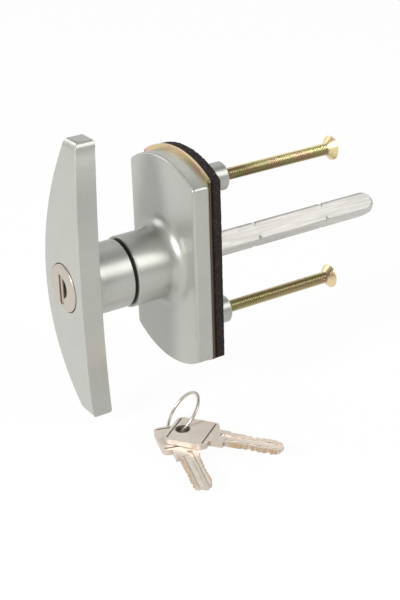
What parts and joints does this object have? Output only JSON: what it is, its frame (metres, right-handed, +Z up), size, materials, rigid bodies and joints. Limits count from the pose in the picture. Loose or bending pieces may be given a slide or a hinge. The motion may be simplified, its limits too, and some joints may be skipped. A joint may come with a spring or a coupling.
{
  "type": "garage door t handle lock",
  "caption": "Locking T handle for a garage door: arched grip on a round shank and boss, backplate with foam gasket, square spindle, fixing screws, wafer lock, and keys on a ring.",
  "frame": {"origin": "on the spindle's axis, on the gasket's rear face, where it meets the door", "axes": "+Y along the spindle into the door, -Y towards the user, +Z up along the bar, +X to the user's right"},
  "size_m": [0.0925, 0.146, 0.1184],
  "materials": {
    "silver_paint": "satin silver-grey paint on a zinc casting",
    "yellow_zinc": "yellow passivated zinc plate on steel",
    "black_foam": "matt closed-cell foam",
    "black_rubber": "matt rubber",
    "bright_zinc": "bright zinc plate",
    "spring_steel": "plain steel",
    "die_cast_zinc": "as cast zinc alloy",
    "satin_nickel": "satin nickel plate",
    "brass": "plain brass",
    "nickel_wire": "bright nickel-plated spring wire",
    "nickel_plate": "worn nickel plate on brass"
  },
  "bodies": {
    "backplate": {"backplate": "silver_paint", "backing_plate": "yellow_zinc", "gasket": "black_foam", "upper_fixing_screw": "yellow_zinc", "lower_fixing_screw": "yellow_zinc", "neck_seal": "black_rubber", "thrust_washer": "spring_steel"},
    "handle": {"handle": "silver_paint", "spindle": "bright_zinc", "spindle_pin": "spring_steel", "circlip": "spring_steel", "lock_barrel": "die_cast_zinc"},
    "plug": {"lock_plug": "die_cast_zinc", "face_cap": "satin_nickel", "plug_clip": "spring_steel", "drive_pin": "spring_steel", "shutter_spring": "spring_steel", "upper_wafer_springs": "spring_steel", "lower_wafer_springs": "spring_steel"},
    "upper_wafers": {"upper_wafers": "brass"},
    "lower_wafers": {"lower_wafers": "brass"},
    "shutter": {"key_shutter": "satin_nickel"},
    "bolt": {"locking_bolt": "bright_zinc"},
    "key_ring": {"key_ring": "nickel_wire"},
    "upper_key": {"upper_key": "nickel_plate"},
    "lower_key": {"lower_key": "nickel_plate"}
  },
  "joints": [
    {"name": "handle_turn", "type": "hinge", "parent": "backplate", "child": "handle", "pos_m": [0, 0, 0], "axis": [0, 1, 0], "range_deg": [-90, 90]},
    {"name": "plug_turn", "type": "hinge", "parent": "handle", "child": "plug", "pos_m": [0, 0, 0], "axis": [0, 1, 0], "range_deg": [0, 90]},
    {"name": "bolt_slide", "type": "slide", "parent": "handle", "child": "bolt", "axis": [1, 0, 0], "range_m": [0, 0.00241]},
    {"name": "upper_wafer_rise", "type": "slide", "parent": "plug", "child": "upper_wafers", "axis": [0, 0, 1], "range_m": [0, 0.0008]},
    {"name": "lower_wafer_drop", "type": "slide", "parent": "plug", "child": "lower_wafers", "axis": [0, 0, -1], "range_m": [0, 0.0008]},
    {"name": "shutter_swing", "type": "hinge", "parent": "plug", "child": "shutter", "pos_m": [-0.0023, -0.05555, 0], "axis": [0, 0, 1], "range_deg": [0, 80], "stiffness_Nm_per_rad": 0.0002, "springref_deg": -17.19},
    {"name": "keys_lift", "type": "slide", "parent": "backplate", "child": "key_ring", "axis": [0, 0, 1], "range_m": [0, 0.05]},
    {"name": "upper_key_swing", "type": "hinge", "parent": "key_ring", "child": "upper_key", "pos_m": [0.0336, -0.027, -0.0558], "axis": [0, 0, 1], "range_deg": [-45, 45]},
    {"name": "lower_key_swing", "type": "hinge", "parent": "key_ring", "child": "lower_key", "pos_m": [0.0303, -0.0275, -0.0582], "axis": [0, 0, 1], "range_deg": [-45, 45]}
  ],
  "couplings": [
    {"joint": "bolt_slide", "follows": "plug_turn", "m_per_rad": 0.0015306},
    {"joint": "lower_wafer_drop", "follows": "upper_wafer_rise", "ratio": 1}
  ]
}
